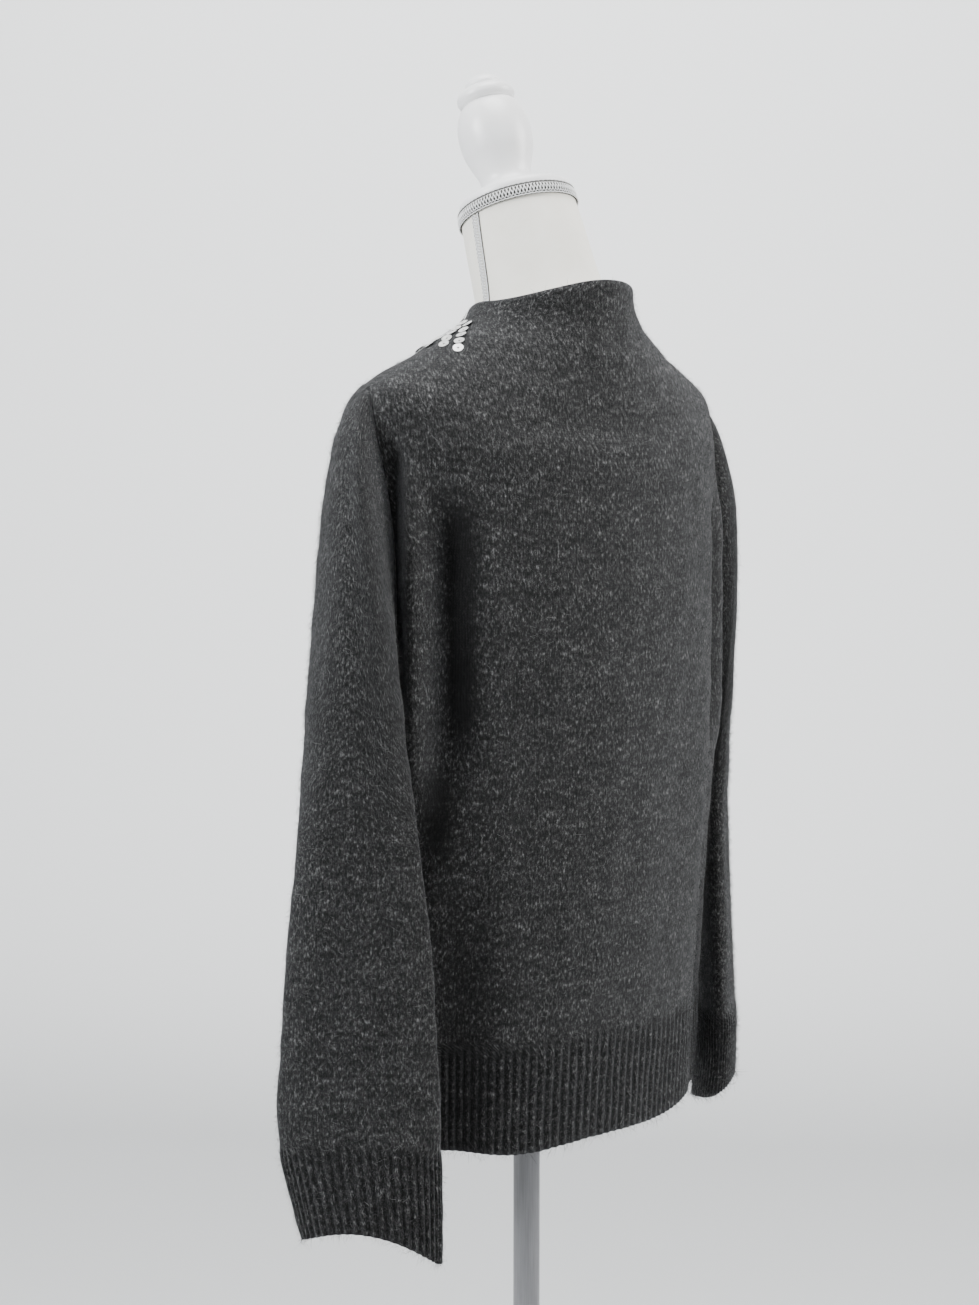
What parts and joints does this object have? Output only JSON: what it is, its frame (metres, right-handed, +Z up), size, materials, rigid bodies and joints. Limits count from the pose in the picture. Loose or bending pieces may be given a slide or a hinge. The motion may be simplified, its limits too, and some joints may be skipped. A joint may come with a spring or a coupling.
{
  "type": "sequin sweater on a dress form",
  "caption": "Wide-sleeved funnel-neck knit sweater with round sequins on its front, worn by a limbless dress form with a turned finial, on a pole and round base.",
  "frame": {"origin": "on the pole's axis, on the floor under the middle of the base plate", "axes": "+Z up along the pole, -Y towards the front of the garment, +X towards the wearer's left"},
  "size_m": [0.4785, 0.3, 1.5515],
  "materials": {
    "knit": "dark grey melange fuzzy knit",
    "jersey": "ivory fine jersey",
    "braid": "silvery white woven braid",
    "wood": "white satin paint on turned wood",
    "metal": "pale satin metal"
  },
  "bodies": {
    "root": {"back": "knit", "front": "knit", "sleeve_left": "knit", "sleeve_right": "knit", "form_torso": "jersey", "form_neck_braid": "braid", "form_side_braid_left": "braid", "form_side_braid_right": "braid", "form_neck_cap": "wood", "form_finial": "wood", "form_socket": "wood", "form_pole": "metal", "form_base_boss": "metal", "form_base": "metal"}
  },
  "joints": []
}
